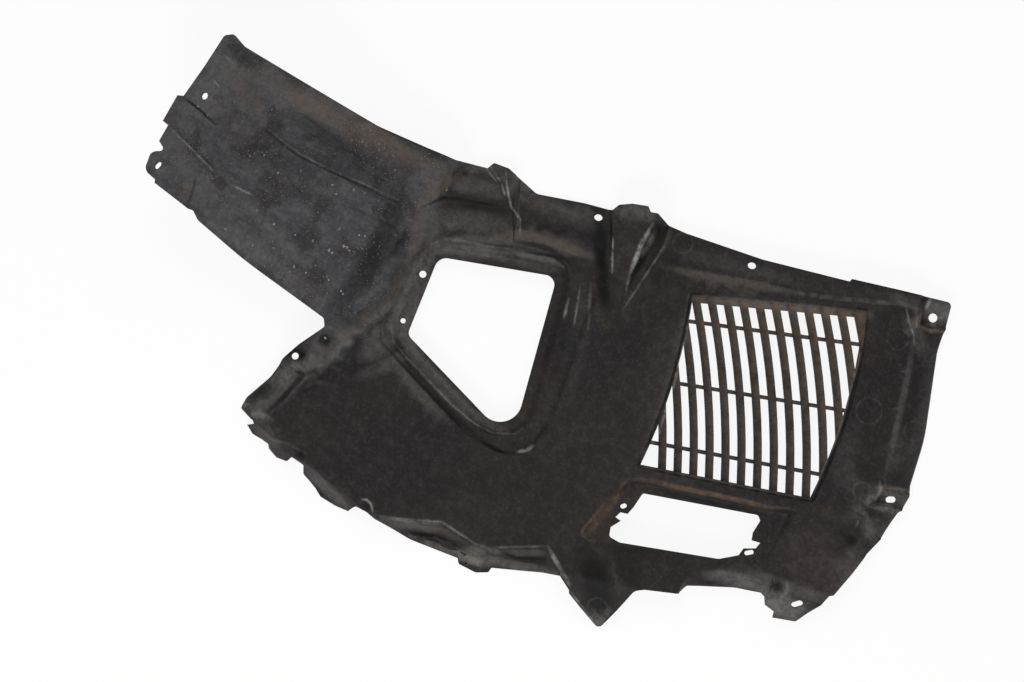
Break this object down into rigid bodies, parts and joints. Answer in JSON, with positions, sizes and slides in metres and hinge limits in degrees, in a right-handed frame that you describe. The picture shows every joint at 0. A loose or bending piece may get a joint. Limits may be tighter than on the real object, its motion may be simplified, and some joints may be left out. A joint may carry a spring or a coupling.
{
  "type": "wheel arch liner",
  "caption": "Front section of a car's wheel arch liner: a moulded plastic panel with a curved strip, a louvred grille, recessed openings, a folded skirt and clip holes.",
  "frame": {"origin": "centre of the bounding box in X and Y, at the height of the lowest edge, on which the liner lies", "axes": "+X along the arch from the curved strip to the grille end, +Y across it towards the upper band, +Z out of the face that the wheel sees"},
  "size_m": [0.821, 0.4832, 0.1426],
  "materials": {
    "plastic": "matte, lightly grained"
  },
  "bodies": {
    "root": {"liner": "plastic"}
  },
  "joints": []
}
